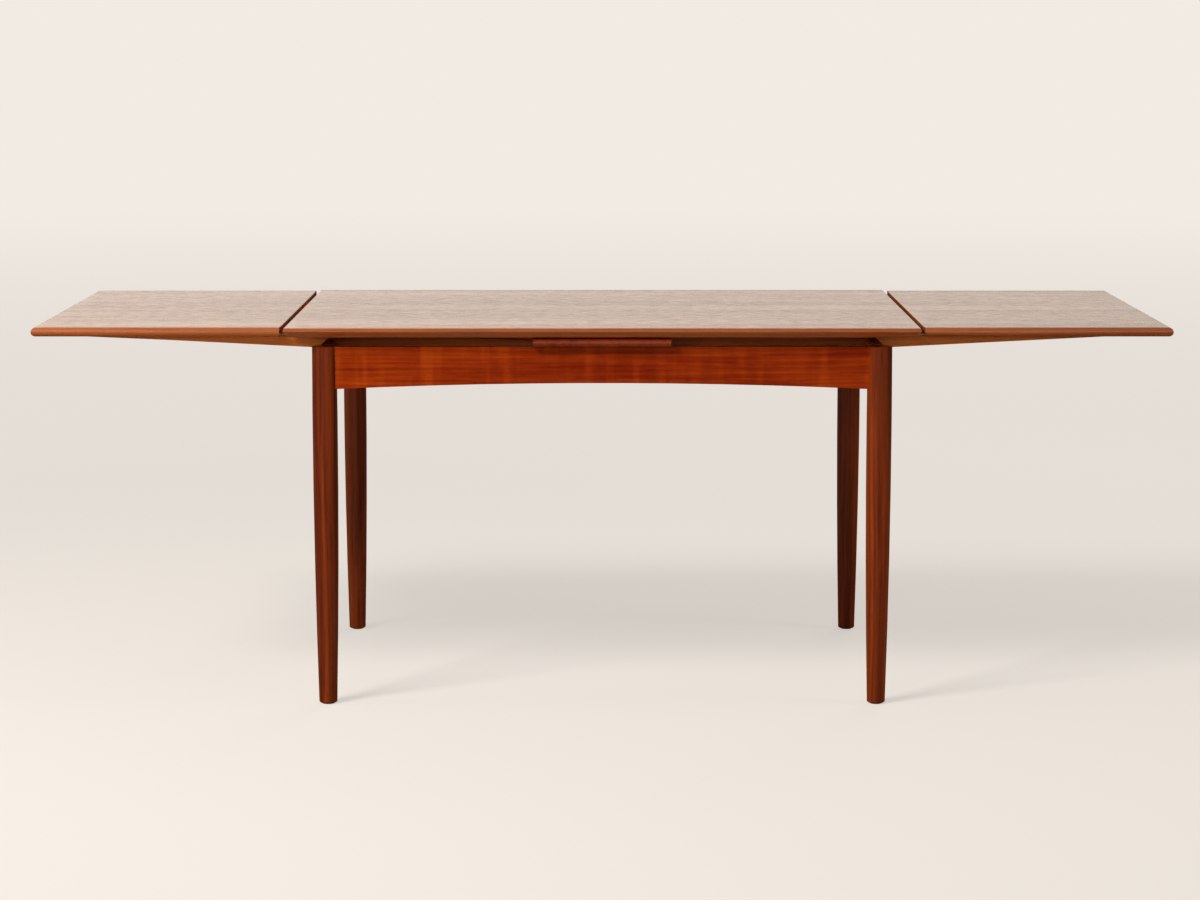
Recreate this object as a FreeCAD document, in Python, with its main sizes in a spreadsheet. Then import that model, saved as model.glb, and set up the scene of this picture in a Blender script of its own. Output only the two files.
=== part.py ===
import FreeCAD, Part
import os

import Sketcher

# A draw leaf dining table with both leaves pulled out, as separate pieces.
# Millimetres. The origin is on the floor at the table's centre, +X runs along the table to the right,
# +Y to the back and +Z up.
#
# The main top lies loose on the bearer board and is located by pegs. Each leaf hangs on two tapered
# runners, which lie in notches of the end apron and of the cross rails. Their slope lowers the leaf by
# leaf_drop while it travels in, so that it ends up under the main top.

DRIVING_DIMENSIONS = {
    # main top
    "table_height": 720.0,
    "top_length": 1190.0,
    "top_depth": 822.0,
    "top_thickness": 18.0,
    "top_lip_width": 32.0,
    "top_edge_batter": 2.0,      # how far the upper edge leans back from the nose
    "top_nose_drop": 7.0,        # nose below the surface
    "top_bevel_run": 12.0,       # how far the underside starts behind the nose
    "top_arris_radius": 1.2,
    "top_nose_radius": 2.0,
    "peg_radius": 11.0,
    "peg_inset": 119.0,          # from the bearer board's front and back edges
    "peg_into_top": 8.0,
    "peg_below_top": 15.0,
    "peg_clearance": 1.0,
    # leaves
    "leaf_length": 463.0,
    "leaf_setback": 12.0,        # of the leaf's front and back edges behind the main top's
    "leaf_thickness": 17.0,
    "leaf_lip_width": 28.0,
    "leaf_nose": 7.5,            # how far the bullnose stands out
    "leaf_gap": 7.5,             # between the main top's nose and the leaf's inner edge
    "leaf_drop": 20.0,           # how far a leaf comes down on its way in
    "inner_lip_width": 20.0,
    "inner_lip_radius": 1.5,
    # tapered battens under the leaf edges
    "batten_thickness": 18.0,
    "batten_depth": 22.1,        # at the leaf's inner edge
    "batten_blank": 21.0,        # from the leaf's outer end to where the taper would start at nothing
    "batten_start": 61.0,        # from the leaf's outer end to the batten's blunt outer end
    "batten_leg_gap": 2.0,
    "batten_reach": 87.0,        # past the leaf's inner edge, under the main top
    "batten_nose": 20.0,         # length of the slanted end
    "batten_tip": 3.0,           # height of its blunt tip
    "batten_heel_radius": 10.0,
    # main runners
    "runner_thickness": 22.0,
    "runner_height": 28.0,
    "runner_clearance": 0.8,     # below the bearer board
    "runner_side_gap": 1.0,
    "runner_capture": 35.0,      # length that stays under the bearer board when the leaf is out
    "runner_start": 60.0,        # from the leaf's outer end
    "runner_inset": 116.5,       # from the legs' axes to the outer lane
    "runner_pitch": 47.0,        # from the outer lane to the inner one
    "runner_end_radius": 6.0,
    "stop_length": 30.0,
    "stop_thickness": 12.0,
    "stop_height": 22.0,
    "stop_lift": 1.0,            # above the runner's lower edge
    "stop_gap": 0.3,
    # legs
    "leg_inset_x": 74.0,         # from the main top's end to the leg's axis
    "leg_inset_y": 42.5,         # from the main top's front edge
    "leg_top_radius": 23.0,
    "leg_foot_radius": 17.2,
    "leg_swell": 2.9,            # how far the side bows out from a straight taper
    "leg_arris": 1.0,
    "foot_arris": 2.0,
    "glide_radius": 11.0,
    "glide_thickness": 2.0,
    "glide_pin_radius": 1.5,
    "glide_pin_length": 14.0,
    # aprons and their joints
    "apron_thickness": 22.0,
    "apron_height": 80.0,
    "apron_arch": 11.5,
    "end_apron_drop": 7.0,       # how far the end aprons' corners stay below the battens
    "shoulder_reach": 16.0,      # from the leg's axis to the apron's shoulder
    "tenon_thickness": 10.0,
    "tenon_height": 26.0,
    "tenon_past_axis": 6.0,
    "tenon_gap": 6.0,            # between the two tenons in a leg, in height
    "joint_clearance": 0.15,
    # bearer board and cross rails
    "bearer_width": 258.0,
    "bearer_gap": 1.0,           # to a leaf that is fully in
    "bearer_thickness": 17.0,
    "pad_thickness": 2.5,
    "pad_radius": 12.0,
    "pad_inset_x": 28.0,         # from the bearer board's long edges
    "pad_inset_y": 69.0,         # from its front and back edges
    "rail_thickness": 20.0,
    "rail_setback": 6.0,         # behind the bearer board's edge
    "rail_height": 60.0,
    "rail_end_drop": 26.0,       # how far the rail's ends stay below the battens
    "rail_tenon_length": 8.0,
    "rail_tenon_margin": 5.0,
    "notch_floor_gap": 0.3,
    # corner blocks
    "block_leg": 75.0,
    "block_blunt": 24.0,
    "block_height": 50.0,
    "block_lift": 10.0,
    # screws
    "screw_head_radius": 3.8,
    "screw_head_height": 3.0,
    "screw_shank_radius": 2.0,
    "leaf_screw_length": 18.0,
    "block_screw_length": 30.0,
    "bearer_screw_length": 36.0,
    "screw_hole_gap": 0.2,
    "screw_sink_gap": 0.6,
    "leaf_screw_rise": 8.0,      # from the head's outer end to the leaf's underside
    "leaf_screw_first": 45.0,    # from the leaf's inner edge
    "runner_screw_pitch": 145.0,
    "batten_screw_pitch": 80.0,
    "bearer_screw_y": 100.0,
    "bearer_screw_rise": 24.0,   # from the head's outer end to the bearer board
    "block_screw_place": 52.0,   # from the corner, along each apron
    "block_screw_rise": 16.0,    # from the head's outer end to the apron
}

doc = FreeCAD.newDocument("DrawLeafTable")
sheet = doc.addObject("Spreadsheet::Sheet", "dims")


class Size:
    """A number together with the sheet expression that it comes from."""

    def __init__(self, value, text):
        self.value = float(value)
        self.text = text

    def __add__(self, other):
        other = as_size(other)
        return Size(self.value + other.value, f"({self.text} + {other.text})")

    def __sub__(self, other):
        other = as_size(other)
        return Size(self.value - other.value, f"({self.text} - {other.text})")

    def __mul__(self, other):
        other = as_size(other)
        return Size(self.value * other.value, f"({self.text} * {other.text})")

    def __truediv__(self, other):
        other = as_size(other)
        return Size(self.value / other.value, f"({self.text} / {other.text})")

    def __radd__(self, other):
        return as_size(other) + self

    def __rsub__(self, other):
        return as_size(other) - self

    def __rmul__(self, other):
        return as_size(other) * self

    def __neg__(self):
        return Size(-self.value, f"(0 - {self.text})")


def as_size(number):
    if isinstance(number, Size):
        return number
    return Size(number, f"({float(number)})")


class Dims:
    """The sheet's cells by name, each as a Size."""

    def __init__(self, values):
        for row, (alias, value) in enumerate(values.items(), start=1):
            sheet.set(f"A{row}", alias)
            sheet.set(f"B{row}", str(value))
            sheet.setAlias(f"B{row}", alias)
            setattr(self, alias, Size(value, f"dims.{alias}"))


d = Dims(DRIVING_DIMENSIONS)
doc.recompute()

# ---------------------------------------------------------------- derived places

TOP_UNDER = d.table_height - d.top_thickness
BEARER_TOP = TOP_UNDER - d.pad_thickness
FRAME_TOP = BEARER_TOP - d.bearer_thickness
APRON_FOOT = FRAME_TOP - d.apron_height
LEG_X = d.top_length / 2 - d.leg_inset_x
LEG_Y = d.top_depth / 2 - d.leg_inset_y

LEAF_UNDER = d.table_height - d.leaf_thickness
LEAF_INNER = d.top_length / 2 + d.leaf_gap
LEAF_OUTER = LEAF_INNER + d.leaf_length
LEAF_EDGE = d.top_depth / 2 - d.leaf_setback
BEARER_EDGE = d.bearer_width / 2
LEAF_RUN = LEAF_INNER - BEARER_EDGE - d.bearer_gap
SLOPE = d.leaf_drop / LEAF_RUN
BATTEN_TAPER = d.batten_depth / (d.leaf_length - d.batten_blank)
PEG_Y = LEAF_EDGE - d.peg_inset
FAR_LANE = LEG_Y - d.runner_inset
NEAR_LANE = FAR_LANE - d.runner_pitch

END_APRON_INSIDE = LEG_X - d.apron_thickness / 2
LONG_APRON_INSIDE = LEG_Y - d.apron_thickness / 2
RAIL_OUTSIDE = BEARER_EDGE - d.rail_setback
RAIL_INSIDE = RAIL_OUTSIDE - d.rail_thickness


def runner_top(x):
    """Height of a runner's upper edge at x: it just passes under the bearer board's edge."""
    return FRAME_TOP - d.runner_clearance + SLOPE * (x - BEARER_EDGE)


def runner_foot(x):
    return runner_top(x) - d.runner_height


def batten_foot(x):
    return LEAF_UNDER - BATTEN_TAPER * (LEAF_OUTER - d.batten_blank - x)


# ---------------------------------------------------------------- modelling helpers

nodes = []
UP = FreeCAD.Vector(0, 0, 1)
CUT_MARGIN = 1.0          # how far a cut runs past the face that it opens
LEG_BANDS = 5             # straight bands that make up a leg's bowed side
LEG_SIDES = 24            # flats round a turned leg, which keep its facets few
SCREW_SIDES = 8           # screws and their holes are prisms, which keeps their facets few
SCREWS_IN_ROW = 3         # that hold a runner or a batten to its leaf


def new_body(label):
    body = doc.addObject("PartDesign::Body", label)
    body.Label = label
    nodes.append(body)
    return body


def bind(item, **sizes):
    """Bind properties to expressions: x, y and z stand for the placement's base."""
    for name, size in sizes.items():
        target = f"Placement.Base.{name}" if name in ("x", "y", "z") else name
        item.setExpression(target, as_size(size).text)


def place(body, side=1, x=0, y=0, z=0, turn=0):
    """Put a body at x, y, z, turned about Z. Side -1 turns it half way round the table's centre."""
    half_turn = 0 if side == 1 else 180
    body.Placement.Rotation = FreeCAD.Rotation(UP, turn + half_turn)
    bind(body, x=side * as_size(x), y=side * as_size(y), z=z)


def sketch_on(body, role):
    sketch = body.newObject("Sketcher::SketchObject", f"{body.Name}_sketch")
    plane = next(item for item in body.Origin.OriginFeatures if item.Role == role)
    sketch.AttachmentSupport = (plane, [""])
    sketch.MapMode = "FlatFace"
    return sketch


def draw_outline(sketch, points, bulges=None):
    """Draw a closed outline. bulges gives, for a side's number, how far it bows to its right."""
    bulges = bulges or {}
    points = [(as_size(u), as_size(v)) for u, v in points]
    vectors = [FreeCAD.Vector(u.value, v.value, 0) for u, v in points]
    first = sketch.GeometryCount
    ends = []
    for index, start in enumerate(vectors):
        finish = vectors[(index + 1) % len(vectors)]
        if index in bulges:
            ends.append(add_arc(sketch, points, index, start, finish, bulges[index]))
        else:
            sketch.addGeometry(Part.LineSegment(start, finish), False)
            ends.append((1, 2))
    for index, (u, v) in enumerate(points):
        side = first + index
        before = first + (index - 1) % len(points)
        corner = ends[index][0]
        arrival = ends[(index - 1) % len(points)][1]
        sketch.addConstraint(Sketcher.Constraint("Coincident", before, arrival, side, corner))
        for kind, size in (("DistanceX", u), ("DistanceY", v)):
            number = sketch.addConstraint(Sketcher.Constraint(kind, -1, 1, side, corner, size.value))
            sketch.setExpression(f"Constraints[{number}]", size.text)


def add_arc(sketch, points, index, start, finish, bulge):
    """Add one bowed side and its radius. Returns the numbers of its first and last point."""
    bulge = as_size(bulge)
    along = finish - start
    right = FreeCAD.Vector(along.y, -along.x, 0).normalize()
    middle = (start + finish) / 2 + right * bulge.value
    arc = sketch.addGeometry(Part.Arc(start, middle, finish), False)
    (u0, v0), (u1, v1) = points[index], points[(index + 1) % len(points)]
    chord_squared = (u1 - u0) * (u1 - u0) + (v1 - v0) * (v1 - v0)
    depth = bulge if bulge.value > 0 else -bulge
    radius = chord_squared / (8 * depth) + depth / 2
    number = sketch.addConstraint(Sketcher.Constraint("Radius", arc, radius.value))
    sketch.setExpression(f"Constraints[{number}]", radius.text)
    begins_at_start = sketch.getPoint(arc, 1).distanceToPoint(start) < 1e-6
    return (1, 2) if begins_at_start else (2, 1)


def pad(body, role, points, length, bulges=None):
    """Pad an outline by length, half to each side of an origin plane of the body."""
    sketch = sketch_on(body, role)
    draw_outline(sketch, points, bulges)
    feature = body.newObject("PartDesign::Pad", f"{body.Name}_pad")
    feature.Profile = sketch
    feature.SideType = "Symmetric"
    bind(feature, Length=length)
    body.Tip = feature
    sketch.Visibility = False
    return feature


def cut_through(body, role, outlines):
    sketch = sketch_on(body, role)
    for points in outlines:
        draw_outline(sketch, points)
    feature = body.newObject("PartDesign::Pocket", f"{body.Name}_cut")
    feature.Profile = sketch
    feature.Type = "ThroughAll"
    feature.SideType = "Symmetric"
    sketch.Visibility = False
    return feature


def box(body, kind, x, y, z):
    """Add or cut a box from x[0] to x[1], y[0] to y[1] and z[0] to z[1]."""
    feature = body.newObject(f"PartDesign::{kind}Box", f"{body.Name}_box")
    bind(feature, x=x[0], y=y[0], z=z[0])
    bind(feature, Length=x[1] - x[0], Width=y[1] - y[0], Height=z[1] - z[0])
    return feature


def round_hole(body, x, y, z, radius, length):
    """Cut a cylinder up from x, y, z."""
    feature = body.newObject("PartDesign::SubtractiveCylinder", f"{body.Name}_hole")
    bind(feature, x=x, y=y, z=z, Radius=radius, Height=length)


def prism_hole(body, x, y, z, radius, length, direction=UP):
    """Cut a screw's prism from x, y, z in a direction."""
    feature = body.newObject("PartDesign::SubtractivePrism", f"{body.Name}_hole")
    feature.Polygon = SCREW_SIDES
    feature.Placement.Rotation = FreeCAD.Rotation(UP, direction)
    bind(feature, x=x, y=y, z=z, Circumradius=radius, Height=length)


def round_edges(body, radius, wanted):
    """Fillet the edges of the body's tip whose middle passes the test."""
    doc.recompute()
    base = body.Tip
    names = []
    for number, edge in enumerate(base.Shape.Edges, start=1):
        if wanted(edge):
            names.append(f"Edge{number}")
    if not names:
        raise RuntimeError(f"{body.Label}: no edge to round")
    feature = body.newObject("PartDesign::Fillet", f"{body.Name}_fillet")
    feature.Base = (base, names)
    bind(feature, Radius=radius)
    body.Tip = feature
    return feature


def runs_along(edge, axis):
    """True for a straight edge along the axis."""
    if len(edge.Vertexes) != 2:
        return False
    chord = edge.Vertexes[1].Point - edge.Vertexes[0].Point
    return abs(abs(chord.normalize().dot(axis)) - 1) < 1e-6


def near(value, size):
    return abs(value - size.value) < 1e-4


# ---------------------------------------------------------------- screws

def prism(name, x, y, z, radius, length, direction=UP):
    item = doc.addObject("Part::Prism", name)
    item.Polygon = SCREW_SIDES
    item.Placement.Rotation = FreeCAD.Rotation(UP, direction)
    bind(item, x=x, y=y, z=z, Circumradius=radius, Height=length)
    return item


def fused(name, base, tool):
    joined = doc.addObject("Part::Fuse", name)
    joined.Base = base
    joined.Tool = tool
    return joined


def screw(name, x, y, z, direction, length):
    """A screw: x, y, z is the outer end of its head, direction points to its tip."""
    head = prism(f"{name}_head", x, y, z, d.screw_head_radius, d.screw_head_height, direction)
    shank = prism(f"{name}_shank", x, y, z, d.screw_shank_radius, length, direction)
    return fused(name, head, shank)


def group(label, pieces):
    """One node made of separate solids."""
    compound = doc.addObject("Part::Compound", label)
    compound.Label = label
    compound.Links = pieces
    nodes.append(compound)
    return compound


def screw_hole(body, x, y, z, direction, length):
    """The hole for the shank of a screw whose head's outer end is at x, y, z."""
    radius = d.screw_shank_radius + d.screw_hole_gap
    prism_hole(body, x, y, z, radius, length + d.screw_hole_gap, direction)


def screw_sink(body, x, y, z, direction, depth):
    """The wide hole, depth deep from x, y, z, that takes a screw's head down to its seat."""
    prism_hole(body, x, y, z, d.screw_head_radius + d.screw_sink_gap, depth, direction)


def span(sign, low, high):
    """The stretch from low to high, or its mirror image when sign is -1, lower end first."""
    if sign > 0:
        return as_size(low), as_size(high)
    return -as_size(high), -as_size(low)


def centred(width):
    return -width / 2, width / 2


def widened(stretch, gap):
    return stretch[0] - gap, stretch[1] + gap


CORNERS = (("front_left", -1, -1), ("front_right", 1, -1), ("back_left", -1, 1), ("back_right", 1, 1))

# ---------------------------------------------------------------- legs

TENON_MARGIN = (d.apron_height - d.end_apron_drop - 2 * d.tenon_height - d.tenon_gap) / 2
LONG_TENON_FOOT = APRON_FOOT + TENON_MARGIN
LONG_TENON = (LONG_TENON_FOOT, LONG_TENON_FOOT + d.tenon_height)
END_TENON_FOOT = LONG_TENON[1] + d.tenon_gap
END_TENON = (END_TENON_FOOT, END_TENON_FOOT + d.tenon_height)
END_APRON_SHOULDER_TOP = FRAME_TOP - d.end_apron_drop


def leg_sections():
    """Height and radius of a leg's sections: a straight taper bowed out by the swell, with a
    broken edge at each end."""
    foot = d.glide_thickness
    low = foot + d.foot_arris
    high = FRAME_TOP - d.leg_arris
    sections = [(foot, d.leg_foot_radius - d.foot_arris)]
    for band in range(LEG_BANDS + 1):
        share = band / LEG_BANDS
        straight = d.leg_foot_radius + (d.leg_top_radius - d.leg_foot_radius) * share
        bow = d.leg_swell * (4 * share * (1 - share))
        sections.append((low + (high - low) * share, straight + bow))
    sections.append((FRAME_TOP, d.leg_top_radius - d.leg_arris))
    return sections


def make_leg(label, side_x, side_y):
    """A turned leg with the housings and mortises of its two aprons, in the corner that
    side_x and side_y name."""
    rings = []
    for number, (height, radius) in enumerate(leg_sections()):
        ring = doc.addObject("Part::RegularPolygon", f"{label}_ring_{number}")
        ring.Polygon = LEG_SIDES
        bind(ring, z=height, Circumradius=radius)
        rings.append(ring)
    turning = doc.addObject("Part::Loft", f"{label}_turning")
    turning.Sections = rings
    turning.Solid = True
    turning.Ruled = True
    body = new_body(label)
    body.BaseFeature = turning

    clearance = d.joint_clearance
    outside = d.leg_top_radius + d.leg_swell
    blade = widened(centred(d.apron_thickness), clearance)
    tongue = widened(centred(d.tenon_thickness), clearance)
    housing = (d.shoulder_reach, outside)
    mortise = (-d.tenon_past_axis - clearance, outside)
    box(body, "Subtractive", span(-side_x, *housing), blade, (APRON_FOOT - clearance, FRAME_TOP + CUT_MARGIN))
    box(body, "Subtractive", span(-side_x, *mortise), tongue, widened(LONG_TENON, clearance))
    box(body, "Subtractive", blade, span(-side_y, *housing),
        (APRON_FOOT - clearance, END_APRON_SHOULDER_TOP + clearance))
    box(body, "Subtractive", tongue, span(-side_y, *mortise), widened(END_TENON, clearance))
    prism_hole(body, 0, 0, 0, d.glide_pin_radius + clearance, d.glide_pin_length + clearance)
    place(body, x=side_x * LEG_X, y=side_y * LEG_Y)


def make_glides():
    pieces = []
    for corner, side_x, side_y in CORNERS:
        x, y = side_x * LEG_X, side_y * LEG_Y
        disc = doc.addObject("Part::Cylinder", f"glide_{corner}_disc")
        bind(disc, x=x, y=y, Radius=d.glide_radius, Height=d.glide_thickness)
        pin = prism(f"glide_{corner}_pin", x, y, 0, d.glide_pin_radius, d.glide_pin_length)
        pieces.append(fused(f"glide_{corner}", disc, pin))
    group("leg_glides", pieces)


# ---------------------------------------------------------------- aprons, rails and blocks

BATTEN_FACE = LEG_Y - d.leg_top_radius - d.batten_leg_gap
BATTEN_BACK = BATTEN_FACE - d.batten_thickness
CORNER_CUT = BATTEN_BACK - d.batten_leg_gap
RAIL_X = (RAIL_INSIDE + RAIL_OUTSIDE) / 2
RAIL_FOOT = FRAME_TOP - d.rail_height
RAIL_END_TOP = FRAME_TOP - d.rail_end_drop
RAIL_TENON = (RAIL_FOOT + d.rail_tenon_margin, RAIL_END_TOP - d.rail_tenon_margin)
BLOCK_HEIGHT_MIDDLE = APRON_FOOT + d.block_lift + d.block_height / 2
BLOCK_SCREW_X = END_APRON_INSIDE - d.block_screw_place
BLOCK_SCREW_Y = LONG_APRON_INSIDE - d.block_screw_place


def make_long_apron(label, side_y):
    """A long apron with an arched lower edge, tenons, and mortises for the cross rails."""
    body = new_body(label)
    shoulder = LEG_X - d.shoulder_reach
    corners = [(-shoulder, APRON_FOOT), (shoulder, APRON_FOOT), (shoulder, FRAME_TOP), (-shoulder, FRAME_TOP)]
    pad(body, "XZ_Plane", corners, d.apron_thickness, {0: -d.apron_arch})
    inside = span(-side_y, d.apron_thickness / 2 - d.rail_tenon_length, d.apron_thickness)
    for side_x in (-1, 1):
        tenon = span(side_x, shoulder, LEG_X + d.tenon_past_axis)
        box(body, "Additive", tenon, centred(d.tenon_thickness), LONG_TENON)
        mortise = widened(span(side_x, RAIL_X - d.tenon_thickness / 2, RAIL_X + d.tenon_thickness / 2),
                          d.joint_clearance)
        box(body, "Subtractive", mortise, inside, widened(RAIL_TENON, d.joint_clearance))
        inner_face = -side_y * d.apron_thickness / 2
        direction = FreeCAD.Vector(0, side_y, 0)
        screw_hole(body, side_x * BLOCK_SCREW_X, inner_face, BLOCK_HEIGHT_MIDDLE, direction,
                   d.block_screw_length - d.block_screw_rise)
    place(body, y=side_y * LEG_Y)


def runner_lanes(side):
    """The centre lines in Y of the two runners of one side's leaf, with the side, -1 or 1, on
    which each carries its stop block."""
    return [(-side * NEAR_LANE, side), (side * FAR_LANE, -side)]


def make_end_apron(label, side):
    """An end apron: its corners stay below the battens, and its notches carry the runners."""
    body = new_body(label)
    shoulder = LEG_Y - d.shoulder_reach
    low = END_APRON_SHOULDER_TOP
    corners = [(-shoulder, APRON_FOOT), (shoulder, APRON_FOOT), (shoulder, low), (CORNER_CUT, low),
               (CORNER_CUT, FRAME_TOP), (-CORNER_CUT, FRAME_TOP), (-CORNER_CUT, low), (-shoulder, low)]
    pad(body, "YZ_Plane", corners, d.apron_thickness)
    through = widened(centred(d.apron_thickness), CUT_MARGIN)
    floor = runner_foot(END_APRON_INSIDE) - d.notch_floor_gap
    for lane, _ in runner_lanes(side):
        notch = widened((lane - d.runner_thickness / 2, lane + d.runner_thickness / 2), d.runner_side_gap)
        box(body, "Subtractive", through, notch, (floor, FRAME_TOP + CUT_MARGIN))
    for side_y in (-1, 1):
        tenon = span(side_y, shoulder, LEG_Y + d.tenon_past_axis)
        box(body, "Additive", centred(d.tenon_thickness), tenon, END_TENON)
        inner_face = -side * d.apron_thickness / 2
        direction = FreeCAD.Vector(side, 0, 0)
        screw_hole(body, inner_face, side_y * BLOCK_SCREW_Y, BLOCK_HEIGHT_MIDDLE, direction,
                   d.block_screw_length - d.block_screw_rise)
    place(body, x=side * LEG_X)


def make_cross_rail(label, side):
    """A rail under the bearer board, with tenons in the long aprons and a notch for each runner.
    The notches of its own leaf also let the stop blocks through."""
    body = new_body(label)
    corners = [(-LONG_APRON_INSIDE, RAIL_FOOT), (LONG_APRON_INSIDE, RAIL_FOOT),
               (LONG_APRON_INSIDE, RAIL_END_TOP), (CORNER_CUT, RAIL_END_TOP),
               (CORNER_CUT, FRAME_TOP), (-CORNER_CUT, FRAME_TOP),
               (-CORNER_CUT, RAIL_END_TOP), (-LONG_APRON_INSIDE, RAIL_END_TOP)]
    pad(body, "YZ_Plane", corners, d.rail_thickness)
    through = widened(centred(d.rail_thickness), CUT_MARGIN)
    own_notch = (runner_foot(RAIL_INSIDE) - d.notch_floor_gap, FRAME_TOP + CUT_MARGIN)
    other_notch = (runner_foot(-RAIL_OUTSIDE) - d.notch_floor_gap, FRAME_TOP + CUT_MARGIN)
    half = d.runner_thickness / 2
    for lane, block_side in runner_lanes(side):
        if block_side > 0:
            notch = (lane - half, lane + half + d.stop_thickness)
        else:
            notch = (lane - half - d.stop_thickness, lane + half)
        box(body, "Subtractive", through, widened(notch, d.runner_side_gap), own_notch)
    for lane, _ in runner_lanes(-side):
        notch = widened((lane - half, lane + half), d.runner_side_gap)
        box(body, "Subtractive", through, notch, other_notch)
    start = FRAME_TOP - d.bearer_screw_rise
    for side_y in (-1, 1):
        tenon = span(side_y, LONG_APRON_INSIDE, LONG_APRON_INSIDE + d.rail_tenon_length)
        box(body, "Additive", centred(d.tenon_thickness), tenon, RAIL_TENON)
        y = side_y * d.bearer_screw_y
        screw_hole(body, 0, y, start, UP, d.bearer_screw_length)
        screw_sink(body, 0, y, RAIL_FOOT, UP, start + d.screw_head_height - RAIL_FOOT)
    place(body, x=side * RAIL_X)


def make_corner_block(label, side_x, side_y):
    """A glue block across the inner corner of two aprons, clear of the leg."""
    body = new_body(label)
    leg, blunt = d.block_leg, d.block_blunt
    steps = [(blunt, 0), (leg, 0), (0, leg), (0, blunt)]
    corners = [(side_x * (END_APRON_INSIDE - a), side_y * (LONG_APRON_INSIDE - b)) for a, b in steps]
    pad(body, "XY_Plane", corners, d.block_height)
    for (x, y), direction in block_screw_places(side_x, side_y):
        screw_hole(body, x, y, 0, direction, d.block_screw_length)
        sink_x = x - direction.x * d.block_leg
        sink_y = y - direction.y * d.block_leg
        screw_sink(body, sink_x, sink_y, 0, direction, d.block_leg + d.screw_head_height)
    place(body, z=BLOCK_HEIGHT_MIDDLE)


def block_screw_places(side_x, side_y):
    """Start and direction of a corner block's two screws: into the long and the end apron."""
    into_long = (side_x * BLOCK_SCREW_X, side_y * (LONG_APRON_INSIDE - d.block_screw_rise))
    into_end = (side_x * (END_APRON_INSIDE - d.block_screw_rise), side_y * BLOCK_SCREW_Y)
    return [(into_long, FreeCAD.Vector(0, side_y, 0)), (into_end, FreeCAD.Vector(side_x, 0, 0))]


def make_block_screws():
    pieces = []
    for _, side_x, side_y in CORNERS:
        for (x, y), direction in block_screw_places(side_x, side_y):
            name = f"block_screw_{len(pieces)}"
            pieces.append(screw(name, x, y, BLOCK_HEIGHT_MIDDLE, direction, d.block_screw_length))
    group("corner_block_screws", pieces)


# ---------------------------------------------------------------- bearer board

def make_bearer_board():
    """The fixed board between the closed leaves, on which the main top lies."""
    body = new_body("bearer_board")
    flat = LEAF_EDGE - d.leaf_nose
    corners = [(-flat, FRAME_TOP), (flat, FRAME_TOP), (flat, BEARER_TOP), (-flat, BEARER_TOP)]
    pad(body, "YZ_Plane", corners, d.bearer_width, {1: d.leaf_nose, 3: d.leaf_nose})
    for side_y in (-1, 1):
        round_hole(body, 0, side_y * PEG_Y, FRAME_TOP - CUT_MARGIN, d.peg_radius + d.peg_clearance,
                   d.bearer_thickness + 2 * CUT_MARGIN)
    for _, side_x, side_y in CORNERS:
        screw_hole(body, side_x * RAIL_X, side_y * d.bearer_screw_y, FRAME_TOP, UP,
                   d.bearer_screw_length - d.bearer_screw_rise)
    place(body)


def make_bearer_screws():
    pieces = []
    for corner, side_x, side_y in CORNERS:
        pieces.append(screw(f"bearer_screw_{corner}", side_x * RAIL_X, side_y * d.bearer_screw_y,
                            FRAME_TOP - d.bearer_screw_rise, UP, d.bearer_screw_length))
    group("bearer_screws", pieces)


def make_pads():
    pieces = []
    for corner, side_x, side_y in CORNERS:
        disc = doc.addObject("Part::Cylinder", f"pad_{corner}")
        bind(disc, x=side_x * (BEARER_EDGE - d.pad_inset_x), y=side_y * (LEAF_EDGE - d.pad_inset_y))
        bind(disc, z=BEARER_TOP, Radius=d.pad_radius, Height=d.pad_thickness)
        pieces.append(disc)
    group("bearer_pads", pieces)


# ---------------------------------------------------------------- lippings
#
# Each is drawn along X, its nose towards -Y at y = 0 and its surface at z = 0. mitres lists the
# ends, -1 or 1, that are cut at 45 degrees.

def cut_mitres(body, length, width, mitres):
    tip = length / 2 + CUT_MARGIN
    heel = length / 2 - width - CUT_MARGIN
    wastes = [[(end * tip, -CUT_MARGIN), (end * tip, width + CUT_MARGIN), (end * heel, width + CUT_MARGIN)]
              for end in mitres]
    cut_through(body, "XY_Plane", wastes)


def make_top_lipping(label, length, mitres):
    """A lipping of the main top with its bird-beak edge."""
    body = new_body(label)
    width, under = d.top_lip_width, -d.top_thickness
    nose, batter = d.top_nose_drop, d.top_edge_batter
    profile = [(0, -nose), (d.top_bevel_run, under), (width, under), (width, 0), (batter, 0)]
    pad(body, "YZ_Plane", profile, length)
    along = FreeCAD.Vector(1, 0, 0)
    round_edges(body, d.top_nose_radius,
                lambda edge: runs_along(edge, along) and near(edge.CenterOfMass.z, -nose))
    round_edges(body, d.top_arris_radius,
                lambda edge: runs_along(edge, along) and near(edge.CenterOfMass.y, batter))
    cut_mitres(body, length, width, mitres)
    return body


def make_leaf_lipping(label, length, mitres):
    """A lipping of a leaf with its full bullnose."""
    body = new_body(label)
    width, under, nose = d.leaf_lip_width, -d.leaf_thickness, d.leaf_nose
    profile = [(nose, under), (width, under), (width, 0), (nose, 0)]
    pad(body, "YZ_Plane", profile, length, {3: nose})
    cut_mitres(body, length, width, mitres)
    return body


# ---------------------------------------------------------------- main top

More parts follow.
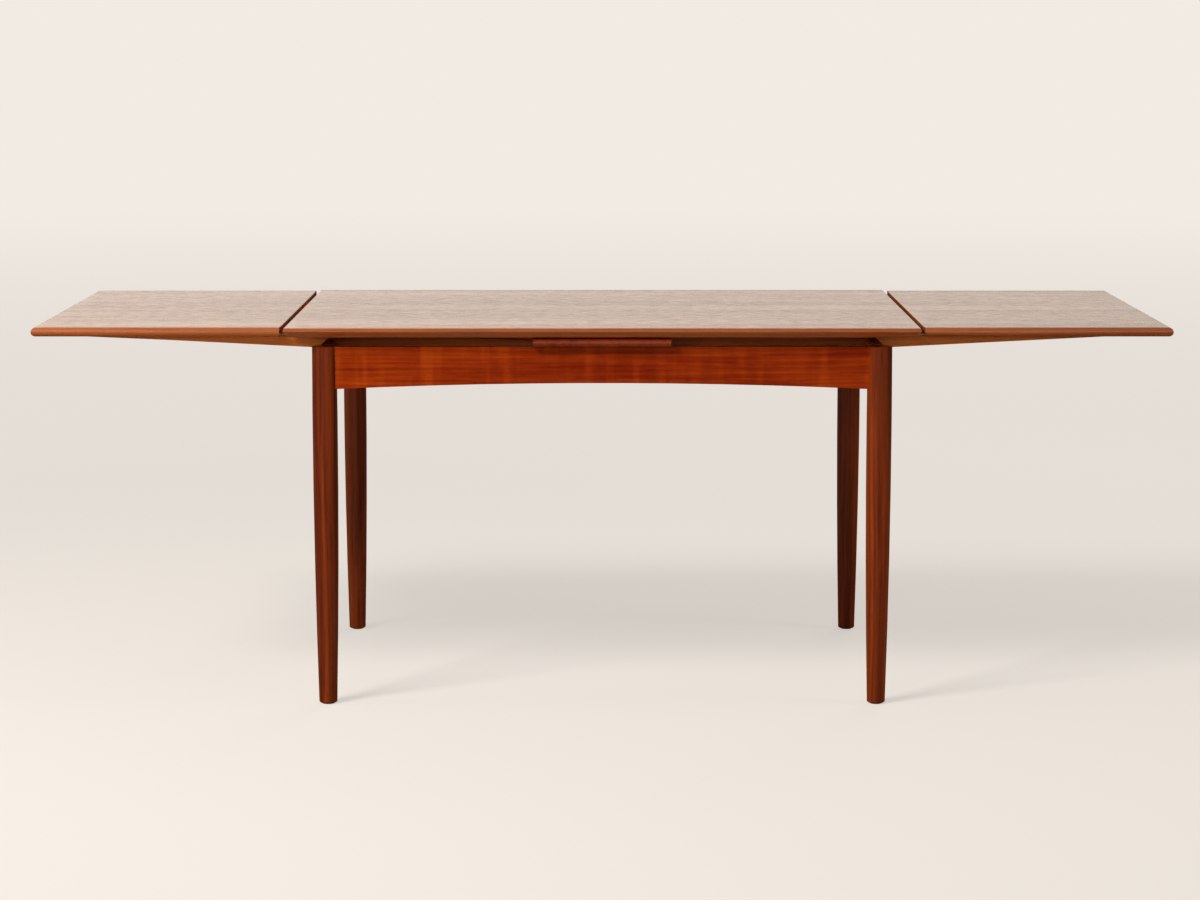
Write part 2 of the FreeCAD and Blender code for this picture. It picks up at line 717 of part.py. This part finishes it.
def make_top():
    half_length, half_depth = d.top_length / 2, d.top_depth / 2
    panel = new_body("top_panel")
    flat_x = half_length - d.top_lip_width
    flat_y = half_depth - d.top_lip_width
    box(panel, "Additive", (-flat_x, flat_x), (-flat_y, flat_y), (TOP_UNDER, d.table_height))
    for side_y in (-1, 1):
        round_hole(panel, 0, side_y * PEG_Y, TOP_UNDER - CUT_MARGIN, d.peg_radius + d.joint_clearance,
                   d.peg_into_top + d.joint_clearance + CUT_MARGIN)
    place(panel)
    both = (-1, 1)
    for label, length, x, y, turn in (
            ("top_front_lipping", d.top_length, 0, -half_depth, 0),
            ("top_right_lipping", d.top_depth, half_length, 0, 90),
            ("top_back_lipping", d.top_length, 0, half_depth, 180),
            ("top_left_lipping", d.top_depth, -half_length, 0, 270)):
        place(make_top_lipping(label, length, both), x=x, y=y, z=d.table_height, turn=turn)
    pieces = []
    for side_y in (-1, 1):
        peg = doc.addObject("Part::Cylinder", f"peg_{len(pieces)}")
        bind(peg, x=0, y=side_y * PEG_Y, z=TOP_UNDER - d.peg_below_top)
        bind(peg, Radius=d.peg_radius, Height=d.peg_below_top + d.peg_into_top)
        pieces.append(peg)
    group("top_locating_pegs", pieces)


# ---------------------------------------------------------------- leaves
#
# A leaf is drawn as the right one. The left one is the same leaf turned half way round the
# table's centre, so its front pieces are the right one's back pieces.

LEAF_SCREW_Z = LEAF_UNDER - d.leaf_screw_rise
STOP_OUTER = END_APRON_INSIDE - d.stop_gap


def screw_row(pitch):
    return [LEAF_INNER + d.leaf_screw_first + step * pitch for step in range(SCREWS_IN_ROW)]


def leaf_screw_places():
    places = []
    for y in (-BATTEN_FACE + d.batten_thickness / 2, BATTEN_FACE - d.batten_thickness / 2):
        places += [(x, y) for x in screw_row(d.batten_screw_pitch)]
    for lane, _ in runner_lanes(1):
        places += [(x, lane) for x in screw_row(d.runner_screw_pitch)]
    return places


def make_batten(label, side, y):
    """A batten that deepens towards the table, with a slanted end over the leg."""
    body = new_body(label)
    tip = LEAF_INNER - d.batten_reach
    heel = tip + d.batten_nose
    start = LEAF_OUTER - d.batten_start
    corners = [(tip, runner_top(tip) - d.batten_tip), (heel, batten_foot(heel)),
               (start, batten_foot(start)), (start, LEAF_UNDER), (LEAF_INNER, LEAF_UNDER),
               (LEAF_INNER, runner_top(LEAF_INNER)), (tip, runner_top(tip))]
    pad(body, "XZ_Plane", corners, d.batten_thickness)
    across = FreeCAD.Vector(0, 1, 0)
    round_edges(body, d.batten_heel_radius,
                lambda edge: runs_along(edge, across) and near(edge.CenterOfMass.x, heel))
    add_leaf_screw_holes(body, screw_row(d.batten_screw_pitch))
    place(body, side, y=y)


def make_runner(label, side, y):
    """A runner: a wedge under the leaf, then a bar that slopes down under the bearer board."""
    body = new_body(label)
    tip = BEARER_EDGE - d.runner_capture
    start = LEAF_OUTER - d.runner_start
    corners = [(tip, runner_foot(tip)), (start, runner_foot(start)), (start, LEAF_UNDER),
               (LEAF_INNER, LEAF_UNDER), (LEAF_INNER, runner_top(LEAF_INNER)), (tip, runner_top(tip))]
    pad(body, "XZ_Plane", corners, d.runner_thickness)
    across = FreeCAD.Vector(0, 1, 0)
    feet = [runner_foot(tip), runner_foot(start)]
    round_edges(body, d.runner_end_radius, lambda edge: runs_along(edge, across)
                and any(near(edge.CenterOfMass.z, foot) for foot in feet))
    add_leaf_screw_holes(body, screw_row(d.runner_screw_pitch))
    place(body, side, y=y)


def add_leaf_screw_holes(body, xs):
    sink = d.runner_height + d.leaf_thickness
    for x in xs:
        screw_hole(body, x, 0, LEAF_SCREW_Z, UP, d.leaf_screw_length)
        screw_sink(body, x, 0, LEAF_SCREW_Z - sink, UP, sink + d.screw_head_height)


def make_leaf(name, side):
    """All pieces of one leaf. Side is 1 on the right and -1 on the left."""
    toward_front = "front" if side > 0 else "back"
    toward_back = "back" if side > 0 else "front"
    panel = new_body(f"{name}_panel")
    flat_y = LEAF_EDGE - d.leaf_lip_width
    inner_lip_end = LEAF_INNER + d.inner_lip_width
    box(panel, "Additive", (inner_lip_end, LEAF_OUTER - d.leaf_lip_width), (-flat_y, flat_y),
        (LEAF_UNDER, d.table_height))
    for x, y in leaf_screw_places():
        screw_hole(panel, x, y, LEAF_SCREW_Z, UP, d.leaf_screw_length)
    place(panel, side)

    inner = new_body(f"{name}_inner_lipping")
    box(inner, "Additive", (LEAF_INNER, inner_lip_end), (-flat_y, flat_y), (LEAF_UNDER, d.table_height))
    across = FreeCAD.Vector(0, 1, 0)
    round_edges(inner, d.inner_lip_radius,
                lambda edge: runs_along(edge, across) and near(edge.CenterOfMass.x, LEAF_INNER)
                and near(edge.CenterOfMass.z, d.table_height))
    place(inner, side)

    middle = LEAF_INNER + d.leaf_length / 2
    for label, length, mitres, x, y, turn in (
            (f"{name}_{toward_front}_lipping", d.leaf_length, (1,), middle, -LEAF_EDGE, 0),
            (f"{name}_outer_lipping", 2 * LEAF_EDGE, (-1, 1), LEAF_OUTER, 0, 90),
            (f"{name}_{toward_back}_lipping", d.leaf_length, (-1,), middle, LEAF_EDGE, 180)):
        place(make_leaf_lipping(label, length, mitres), side, x, y, d.table_height, turn)

    batten_y = BATTEN_FACE - d.batten_thickness / 2
    near_lane, far_lane = (lane for lane, _ in runner_lanes(1))
    make_batten(f"{name}_{toward_front}_batten", side, -batten_y)
    make_batten(f"{name}_{toward_back}_batten", side, batten_y)
    make_runner(f"{name}_{toward_front}_runner", side, near_lane)
    make_runner(f"{name}_{toward_back}_runner", side, far_lane)
    make_stop_blocks(name, side)

    screws = [screw(f"{name}_screw_{number}", x, y, LEAF_SCREW_Z, UP, d.leaf_screw_length)
              for number, (x, y) in enumerate(leaf_screw_places())]
    turn_group(group(f"{name}_screws", screws), side)


def make_stop_blocks(name, side):
    """The blocks on the runners that meet the end apron when the leaf is fully out."""
    pieces = []
    foot = runner_foot(STOP_OUTER - d.stop_length) + d.stop_lift
    for lane, block_side in runner_lanes(1):
        block = doc.addObject("Part::Box", f"{name}_stop_{len(pieces)}")
        face = d.runner_thickness / 2
        low, _ = span(block_side, face, face + d.stop_thickness)
        bind(block, x=STOP_OUTER - d.stop_length, y=lane + low, z=foot)
        bind(block, Length=d.stop_length, Width=d.stop_thickness, Height=d.stop_height)
        pieces.append(block)
    turn_group(group(f"{name}_stop_blocks", pieces), side)


def turn_group(compound, side):
    """Turn a group of the right leaf half way round for the left leaf."""
    compound.Placement.Rotation = FreeCAD.Rotation(UP, 0 if side > 0 else 180)


# ---------------------------------------------------------------- the table

for corner, side_x, side_y in CORNERS:
    make_leg(f"leg_{corner}", side_x, side_y)
make_glides()
make_long_apron("front_apron", -1)
make_long_apron("back_apron", 1)
make_end_apron("left_end_apron", -1)
make_end_apron("right_end_apron", 1)
make_cross_rail("left_cross_rail", -1)
make_cross_rail("right_cross_rail", 1)
for corner, side_x, side_y in CORNERS:
    make_corner_block(f"corner_block_{corner}", side_x, side_y)
make_block_screws()
make_bearer_board()
make_bearer_screws()
make_pads()
make_top()
make_leaf("right_leaf", 1)
make_leaf("left_leaf", -1)

doc.recompute()

for item in doc.Objects:
    if "Invalid" in item.State or "Error" in item.State:
        raise RuntimeError(f"{item.Label} did not recompute: {item.State}")

os.makedirs("parts", exist_ok=True)
for node in nodes:
    if node.Shape.isNull() or not node.Shape.isValid():
        raise RuntimeError(f"{node.Label} has no valid shape")
    node.Shape.exportStep(f"parts/{node.Label}.step")
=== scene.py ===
import math

import bpy
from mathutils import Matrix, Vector


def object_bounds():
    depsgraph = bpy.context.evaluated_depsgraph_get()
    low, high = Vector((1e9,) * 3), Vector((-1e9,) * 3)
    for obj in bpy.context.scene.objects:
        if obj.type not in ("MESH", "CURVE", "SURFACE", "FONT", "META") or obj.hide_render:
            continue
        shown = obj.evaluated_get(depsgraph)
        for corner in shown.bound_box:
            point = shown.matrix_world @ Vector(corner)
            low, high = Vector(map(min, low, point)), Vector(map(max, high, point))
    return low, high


# The looks of a draw leaf dining table. Metres: the origin is on the floor at the table's centre,
# +X to the right, +Y to the back, +Z up.

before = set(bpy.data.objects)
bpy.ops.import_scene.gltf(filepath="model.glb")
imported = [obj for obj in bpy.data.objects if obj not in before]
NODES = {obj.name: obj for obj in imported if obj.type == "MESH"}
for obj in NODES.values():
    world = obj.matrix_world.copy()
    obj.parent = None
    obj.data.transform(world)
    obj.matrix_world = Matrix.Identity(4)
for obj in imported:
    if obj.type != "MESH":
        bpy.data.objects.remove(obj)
CAD_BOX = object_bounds()
TABLE_HEIGHT = max(corner[2] for corner in CAD_BOX)

# Tones are pairs of linear colours: the pale and the dark wood of a board. Some are made paler or
# darker than their wood to paint light or shade, as noted at each.
TONES = {
    "veneer": ((0.340, 0.150, 0.060), (0.135, 0.052, 0.018)),
    "lipping": ((0.320, 0.074, 0.011), (0.180, 0.033, 0.004)),
    "apron": ((0.243, 0.025, 0.001), (0.135, 0.0085, 0.001)),
    # the bearer's tone is the aprons' wood made darker: painted shade under the overhanging top
    "bearer": ((0.190, 0.022, 0.001), (0.105, 0.009, 0.001)),
    "leg": ((0.205, 0.031, 0.003), (0.058, 0.0055, 0.001)),
    # the battens' tone is the teak made much paler: painted light on the battens, which lie under the
    # leaves' edges
    "batten": ((0.560, 0.162, 0.019), (0.375, 0.087, 0.008)),
    # the runners' and stop blocks' tone is darkened: painted shade inside the slot between the top and
    # the aprons
    "slot_painted_shade": ((0.375, 0.086, 0.013), (0.215, 0.044, 0.007)),
    "beech": ((0.560, 0.370, 0.210), (0.430, 0.260, 0.130)),
}

# Scales of a wood's figure, per metre along and across the grain.
FIGURES = {
    "board": {"bands": (0.7, 26.0), "streaks": (1.8, 150.0), "fibres": (16.0, 900.0)},
    "rippled": {"bands": (1.2, 14.0), "streaks": (3.0, 170.0), "fibres": (12.0, 700.0)},
    "veneer": {"bands": (0.6, 12.0), "streaks": (16.0, 110.0), "fibres": (30.0, 520.0)},
}
PORES = (60.0, 2400.0)
GLOSS_PLAY = (45.0, 250.0)      # patches of the veneer that shine more or less
RIPPLE = (34.0, 4.0)            # marks that run across the grain of the aprons
BLOTCH = (6.0, 22.0)
RIPPLE_TINT = (1.48, 2.1, 2.4, 1.0)
BAND_SHARE = 0.45               # what the bands give to the colour, the streaks giving the rest

WANDER = (1.6, 5.0, 5.0)        # scale at which the grain wanders, per metre
WANDER_REACH = 0.022

SATIN = 0.22                    # roughness of the polished upper surface
VENEER_DEPTH = 0.0004
WOOD_IOR = 1.5
NOSE_IOR = 1.65                 # the rounded edges are polished more
ROUGHNESS_SWING = 0.30          # how much rougher dark wood is than pale wood
SHINE_SWING = 1.6
RELIEF = 0.00008

ARRIS = 0.0008                  # broken edges of the solid pieces
CREASE = math.radians(32)       # sharper edges stay sharp
WELD_REACH = 1e-5

APRON_PLANK_PAINTED_LIGHT = Vector((2.1, 1.1, 0.7))    # where in the plank the aprons are cut, picked so that the pale blotches fall on the left of the front apron: painted light from the left

GRAIN_TURNS = {
    "X": (0.0, 0.0, 0.0),
    "Y": (0.0, 0.0, -math.pi / 2),
    "Z": (0.0, math.pi / 2, 0.0),
}


# ---------------------------------------------------------------- node helpers

class Graph:
    """Short names for the nodes that the materials here are made of."""

    def __init__(self, material):
        material.use_nodes = True
        self.tree = material.node_tree
        self.tree.nodes.clear()

    def add(self, kind, inputs=None, **settings):
        node = self.tree.nodes.new(f"ShaderNode{kind}")
        for name, value in settings.items():
            setattr(node, name, value)
        for name, value in (inputs or {}).items():
            self.feed(node.inputs[name], value)
        return node

    def feed(self, socket, value):
        if isinstance(value, bpy.types.NodeSocket):
            self.tree.links.new(value, socket)
        else:
            socket.default_value = value

    def math(self, operation, *values):
        node = self.tree.nodes.new("ShaderNodeMath")
        node.operation = operation
        for socket, value in zip(node.inputs, values):
            self.feed(socket, value)
        return node.outputs[0]

    def blend(self, share, first, second):
        """A number that is first times share, plus second times what is left of 1."""
        return self.math("ADD", self.math("MULTIPLY", first, share),
                         self.math("MULTIPLY", second, 1.0 - share))

    def noise(self, coordinates, scale, detail=2.0, roughness=0.5):
        """Noise along a grain that runs in X. scale is per metre: along and across the grain."""
        along, across = scale
        stretch = self.add("Mapping", {"Vector": coordinates, "Scale": (along, across, across)})
        noise = self.add("TexNoise", {"Vector": stretch.outputs[0], "Scale": 1.0, "Detail": detail,
                                      "Roughness": roughness})
        return noise.outputs["Fac"]

    def ramp(self, factor, stops):
        node = self.add("ValToRGB", {"Fac": factor})
        elements = node.color_ramp.elements
        while len(elements) < len(stops):
            elements.new(0.5)
        for element, (position, colour) in zip(elements, stops):
            element.position = position
            element.color = colour
        return node.outputs["Color"]

    def mix(self, factor, first, second, blend="MIX"):
        node = self.add("Mix", data_type="RGBA", blend_type=blend)
        self.feed(node.inputs[0], factor)
        self.feed(node.inputs[6], first)
        self.feed(node.inputs[7], second)
        return node.outputs[2]

    def smooth(self, value, start, end):
        """Runs softly between the two ends while value runs over start."""
        node = self.add("MapRange", {"Value": value, "From Min": start[0], "From Max": start[1],
                                     "To Min": end[0], "To Max": end[1]},
                        interpolation_type="SMOOTHSTEP")
        return node.outputs[0]

    def finish(self, shader):
        output = self.add("OutputMaterial")
        self.tree.links.new(shader.outputs[0], output.inputs["Surface"])


def grey(value):
    return (value, value, value, 1.0)


# ---------------------------------------------------------------- wood

def grain_coords(g, axis, offset):
    """Coordinates that run along the grain in X, with a wander of a few millimetres."""
    place = g.add("TexCoord").outputs["Object"]
    turned = g.add("Mapping", {"Vector": place, "Rotation": GRAIN_TURNS[axis]}).outputs[0]
    coords = g.add("Mapping", {"Vector": turned, "Location": offset}).outputs[0]
    wander = g.add("Mapping", {"Vector": coords, "Scale": WANDER}).outputs[0]
    drift = g.add("TexNoise", {"Vector": wander, "Scale": 1.0, "Detail": 1.0}).outputs["Color"]
    shift = g.add("VectorMath", {0: drift, 1: (0.5, 0.5, 0.5)}, operation="SUBTRACT").outputs[0]
    small = g.add("VectorMath", {0: shift, 1: (0.0, WANDER_REACH, WANDER_REACH)},
                  operation="MULTIPLY").outputs[0]
    return g.add("VectorMath", {0: coords, 1: small}, operation="ADD").outputs[0]


def ripple_marks(g, bent, colour):
    """Pale marks across the grain, broken up by blotches."""
    marks = g.ramp(g.noise(bent, RIPPLE, 2.0), [(0.50, grey(0.0)), (0.66, grey(0.75))])
    blotch = g.ramp(g.noise(bent, BLOTCH, 4.0, 0.6), [(0.42, grey(0.0)), (0.66, grey(0.65))])
    pale = g.mix(1.0, colour, RIPPLE_TINT, "MULTIPLY")
    return g.mix(g.mix(1.0, marks, blotch, "SCREEN"), colour, pale)


def grain(g, tone, figure, axis, offset):
    """Colour, shade and relief of wood whose fibres run along an axis. The shade is about 0.5, and
    more where the wood shines more."""
    bent = grain_coords(g, axis, offset)
    scales = FIGURES[figure]
    bands = g.noise(bent, scales["bands"], 2.0)
    streaks = g.noise(bent, scales["streaks"], 3.0, 0.6)
    fibres = g.noise(bent, scales["fibres"], 2.0, 0.6)
    pores = g.noise(bent, PORES, 1.0)
    mixed = g.blend(BAND_SHARE, bands, streaks)
    pale, dark = ((*colour, 1.0) for colour in TONES[tone])
    colour = g.ramp(mixed, [(0.36, dark), (0.62, pale)])
    fibre_shade = g.ramp(fibres, [(0.30, grey(0.78)), (0.62, grey(1.0))])
    colour = g.mix(1.0, colour, fibre_shade, "MULTIPLY")
    pore_shade = g.ramp(pores, [(0.30, grey(0.55)), (0.42, grey(1.0))])
    colour = g.mix(0.7, colour, pore_shade, "MULTIPLY")
    if figure == "rippled":
        colour = ripple_marks(g, bent, colour)
    if figure == "veneer":
        play = g.noise(bent, GLOSS_PLAY, 2.0, 0.6)
        shade = g.math("ADD", g.math("MULTIPLY", mixed, 0.4), g.math("MULTIPLY_ADD", play, 1.5, -0.45))
    else:
        shade = g.blend(0.5, mixed, fibres)
    return colour, shade, g.blend(0.5, fibres, pores)


def wood(name, tone, axis, offset, roughness=0.42, specular=0.5, figure="board", covered=False):
    """Oiled wood. offset picks another part of the plank. A covered lipping has the veneer, whose
    fibres run along X, on its upper face."""
    material = bpy.data.materials.new(name)
    g = Graph(material)
    colour, shade, height = grain(g, tone, figure, axis, offset)
    ior = WOOD_IOR
    if covered:
        spread, veneer_shade, _ = grain(g, "veneer", "veneer", "X", (0.0, 0.0, 0.0))
        level = g.add("SeparateXYZ", {0: g.add("TexCoord").outputs["Object"]}).outputs[2]
        on_top = g.math("GREATER_THAN", level, TABLE_HEIGHT - VENEER_DEPTH)
        colour = g.mix(on_top, colour, spread)
        shade = g.math("ADD", g.math("MULTIPLY", veneer_shade, on_top),
                       g.math("MULTIPLY", shade, g.math("SUBTRACT", 1.0, on_top)))
        roughness = g.math("MULTIPLY_ADD", on_top, SATIN - roughness, roughness)
        specular = g.math("MULTIPLY_ADD", on_top, 0.5 - specular, specular)
        ior = g.math("MULTIPLY_ADD", on_top, WOOD_IOR - NOSE_IOR, NOSE_IOR)
    swing = g.math("MULTIPLY_ADD", shade, -ROUGHNESS_SWING, ROUGHNESS_SWING / 2)
    shine = g.math("MULTIPLY_ADD", shade, SHINE_SWING, 1.0 - SHINE_SWING / 2)
    bump = g.add("Bump", {"Height": height, "Strength": 0.2, "Distance": RELIEF})
    shader = g.add("BsdfPrincipled", {"Base Color": colour, "Normal": bump.outputs[0], "IOR": ior,
                                      "Roughness": g.math("ADD", swing, roughness),
                                      "Specular IOR Level": g.math("MULTIPLY", specular, shine)})
    g.finish(shader)
    return material


def speckled(name, colour, roughness, metallic=0.0, scale=900.0, spread=0.12):
    """A plain fine-grained finish: felt, moulded plastic or plated steel."""
    material = bpy.data.materials.new(name)
    g = Graph(material)
    place = g.add("TexCoord").outputs["Object"]
    noise = g.add("TexNoise", {"Vector": place, "Scale": scale, "Detail": 3.0}).outputs["Fac"]
    low = tuple(c * (1 - spread) for c in colour)
    high = tuple(min(c * (1 + spread), 1.0) for c in colour)
    tint = g.ramp(noise, [(0.3, (*low, 1.0)), (0.7, (*high, 1.0))])
    rough = g.math("MULTIPLY_ADD", noise, 0.15, roughness - 0.075)
    bump = g.add("Bump", {"Height": noise, "Strength": 0.4, "Distance": 0.0001})
    shader = g.add("BsdfPrincipled", {"Base Color": tint, "Roughness": rough, "Metallic": metallic,
                                      "Normal": bump.outputs[0]})
    g.finish(shader)
    return material


def finish_of(node, index):
    """The material of a CAD node, from what kind of piece it is."""
    offset = (index * 3.17 % 7.0, index * 1.73 % 5.0, index * 0.91 % 3.0)
    if node.endswith("screws"):
        return speckled(node, (0.52, 0.50, 0.46), 0.35, metallic=1.0)
    if node == "bearer_pads":
        return speckled(node, (0.16, 0.10, 0.06), 0.95, scale=2500.0, spread=0.35)
    if node == "leg_glides":
        return speckled(node, (0.05, 0.035, 0.025), 0.45)
    if "panel" in node:
        return wood(node, "veneer", "X", (0.0, 0.0, 0.0), roughness=SATIN, figure="veneer")
    if "lipping" in node:
        across = any(word in node for word in ("left_lipping", "right_lipping", "outer", "inner"))
        return wood(node, "lipping", "Y" if across else "X", offset, roughness=0.17, specular=1.0,
                    covered=True)
    if node.startswith("leg_"):
        return wood(node, "leg", "Z", offset, roughness=0.32, specular=0.36)
    # battens: their pale tone is painted light
    if node.endswith("batten"):
        return wood(node, "batten", "X", offset)
    if node.endswith("apron"):
        axis = "X" if node in ("front_apron", "back_apron") else "Y"
        # the plank offset makes the front apron paler at its left end: painted light
        return wood(node, "apron", axis, Vector(offset) + APRON_PLANK_PAINTED_LIGHT, roughness=0.27, specular=0.12,
                    figure="rippled")
    # the bearer's dark tone is painted shade
    if node == "bearer_board":
        return wood(node, "bearer", "Y", offset, roughness=0.22, specular=0.8)
    # runners and stop blocks: a darkened tone that paints the slot's shade
    if node.endswith("runner") or node.endswith("stop_blocks"):
        return wood(node, "slot_painted_shade", "X", offset, roughness=0.6)
    if node == "top_locating_pegs":
        return wood(node, "beech", "Z", offset)
    if node.endswith("cross_rail"):
        return wood(node, "beech", "Y", offset, roughness=0.6)
    return wood(node, "beech", "X", offset, roughness=0.6)


def soften(piece, width):
    """Shade a CAD node's curved faces smoothly and break its sharp edges by width."""
    mesh = piece.data
    if "custom_normal" in mesh.attributes:
        mesh.attributes.remove(mesh.attributes["custom_normal"])
    mesh.shade_smooth()
    weld = piece.modifiers.new("weld", "WELD")
    weld.merge_threshold = WELD_REACH
    if width == 0.0:
        split = piece.modifiers.new("edges", "EDGE_SPLIT")
        split.split_angle = CREASE
        return
    bevel = piece.modifiers.new("arris", "BEVEL")
    bevel.limit_method = "ANGLE"
    bevel.angle_limit = CREASE
    bevel.width = width
    bevel.segments = 2
    bevel.harden_normals = True


for index, name in enumerate(sorted(NODES)):
    piece = NODES[name]
    material = finish_of(name, index)
    for slot in piece.material_slots:
        slot.material = material
    soften(piece, 0.0 if "panel" in name or "lipping" in name else ARRIS)


# ---------------------------------------------------------------- floor, light and camera

PALE = (1.0, 0.937, 0.875, 1.0)
BACKDROP = 0.887                # what the camera sees of the far floor and of the world
FLOOR_HALF = 600.0
FLOOR_BOUNCE = (0.40, 0.30, 0.20, 1.0)
FLOOR_MIRRORED = (0.13, 0.09, 0.05, 1.0)
SHADOWED = (0.22, 0.211, 0.202, 1.0)
NEAR = (1.2, 4.0)               # metres from the table over which the shadows' floor gives way
FAR = (4.0, 16.0)
NEAR_GLOW = 0.55
MIDDLE_GLOW = 0.78

ROOM = 0.22
MIRRORED_WALL = (1.0, 0.94, 0.865, 1.0)
WALL_AHEAD = 0.25
WALL_BEHIND = 1.0
WALL_LEAN = -0.55               # the wall's loss of light towards the right
WINDOW = Vector((-0.60, -0.60, 0.52)).normalized()
WINDOW_GLOW = 2.0
FRONT_GLOW = 0.8

# name, place, target, size, power and colour
LAMPS = (
    ("key", (-3.4, -3.5, 4.3), (0.0, 0.0, 0.6), (2.0, 2.0), 535.0, (1.0, 0.95, 0.85)),
    ("front", (-1.9, -6.7, 1.9), (0.0, 0.0, 0.7), (1.6, 1.0), 88.0, (1.0, 0.95, 0.76)),
    ("left", (-4.6, -0.6, 1.2), (0.0, 0.0, 0.5), (1.2, 2.2), 60.0, (1.0, 0.97, 0.93)),
    ("right", (4.4, -0.9, 1.4), (0.0, 0.0, 0.5), (1.2, 2.2), 58.0, (1.0, 0.97, 0.93)),
    ("back", (2.4, 5.0, 2.6), (0.0, 0.0, 0.4), (3.0, 2.0), 110.0, (1.0, 0.97, 0.93)),
)

CAMERA_PLACE = (-0.004, -6.3, 1.309)
CAMERA_PITCH = math.radians(7.9)
CAMERA_LENS = 95.4
CAMERA_SENSOR = 36.0


def make_floor():
    """A wide pale floor, clear from below. What it throws back on the object is weaker than what
    the camera sees."""
    mesh = bpy.data.meshes.new("floor")
    corners = [(x * FLOOR_HALF, y * FLOOR_HALF, 0.0) for x, y in ((-1, -1), (1, -1), (1, 1), (-1, 1))]
    mesh.from_pydata(corners, [], [(0, 1, 2, 3)])
    floor = bpy.data.objects.new("floor", mesh)
    bpy.context.collection.objects.link(floor)
    material = bpy.data.materials.new("floor")
    g = Graph(material)
    path = g.add("LightPath")
    mirrored = g.mix(path.outputs["Is Glossy Ray"], FLOOR_BOUNCE, FLOOR_MIRRORED)
    bounce = g.add("BsdfDiffuse", {"Color": mirrored}).outputs[0]
    place = g.add("TexCoord").outputs["Object"]
    distance = g.add("VectorMath", {0: place}, operation="LENGTH").outputs[1]
    strength = g.math("ADD", g.smooth(distance, NEAR, (NEAR_GLOW, MIDDLE_GLOW)),
                      g.smooth(distance, FAR, (0.0, BACKDROP - MIDDLE_GLOW)))
    glow = g.add("Emission", {"Color": PALE, "Strength": strength}).outputs[0]
    shadowed = g.mix(g.smooth(distance, NEAR, (0.0, 1.0)), SHADOWED, grey(0.0))
    lit = g.add("BsdfDiffuse", {"Color": shadowed}).outputs[0]
    pale = g.add("AddShader", {0: glow, 1: lit}).outputs[0]
    above = g.add("MixShader", {0: path.outputs["Is Camera Ray"], 1: bounce, 2: pale}).outputs[0]
    below = g.add("NewGeometry").outputs["Backfacing"]
    clear = g.add("BsdfTransparent").outputs[0]
    g.finish(g.add("MixShader", {0: below, 1: above, 2: clear}))
    mesh.materials.append(material)


def area_light(name, place, target, size, power, colour):
    """A soft lamp that is seen neither directly nor in reflections."""
    light = bpy.data.lights.new(name, "AREA")
    light.shape = "RECTANGLE"
    light.size, light.size_y = size
    light.energy = power
    light.color = colour
    lamp = bpy.data.objects.new(name, light)
    lamp.location = place
    lamp.visible_camera = False
    lamp.visible_glossy = False
    lamp.rotation_euler = (Vector(target) - Vector(place)).to_track_quat("-Z", "Y").to_euler()
    bpy.context.collection.objects.link(lamp)


def make_world():
    """A dim room for the diffuse light. Glossy rays see a pale wall behind the table, a window to
    the left and a glow low in front, and the camera sees a pale background."""
    world = bpy.data.worlds.new("studio")
    bpy.context.scene.world = world
    g = Graph(world)
    path = g.add("LightPath")
    direction = g.add("TexCoord").outputs["Generated"]
    right, back, up = g.add("SeparateXYZ", {0: direction}).outputs
    wall = g.math("MULTIPLY", g.smooth(back, (0.45, 0.95), (WALL_AHEAD, WALL_BEHIND)),
                  g.math("MULTIPLY_ADD", right, WALL_LEAN, 1.0))
    aim = g.add("VectorMath", {0: direction, 1: WINDOW}, operation="DOT_PRODUCT").outputs[1]
    window = g.smooth(aim, (0.86, 0.95), (0.0, WINDOW_GLOW))
    ahead = g.math("MULTIPLY", g.smooth(back, (-0.97, -0.80), (FRONT_GLOW, 0.0)),
                   g.smooth(up, (0.12, 0.27), (1.0, 0.0)))
    seen = g.math("ADD", wall, g.math("ADD", window, ahead))
    room = g.add("Mix", {0: path.outputs["Is Glossy Ray"], 2: ROOM, 3: seen}).outputs[0]
    strength = g.add("Mix", {0: path.outputs["Is Camera Ray"], 2: room, 3: BACKDROP}).outputs[0]
    colour = g.mix(path.outputs["Is Camera Ray"], MIRRORED_WALL, PALE)
    background = g.add("Background", {"Color": colour, "Strength": strength})
    output = g.add("OutputWorld")
    g.tree.links.new(background.outputs[0], output.inputs["Surface"])


def make_camera():
    data = bpy.data.cameras.new("camera")
    data.sensor_width = CAMERA_SENSOR
    data.lens = CAMERA_LENS
    data.clip_end = 200.0
    camera = bpy.data.objects.new("camera", data)
    camera.location = CAMERA_PLACE
    camera.rotation_euler = (math.pi / 2 - CAMERA_PITCH, 0.0, 0.0)
    bpy.context.collection.objects.link(camera)
    bpy.context.scene.camera = camera


make_floor()
make_world()
for lamp in LAMPS:
    area_light(*lamp)
make_camera()
bpy.context.scene.view_settings.view_transform = "Standard"
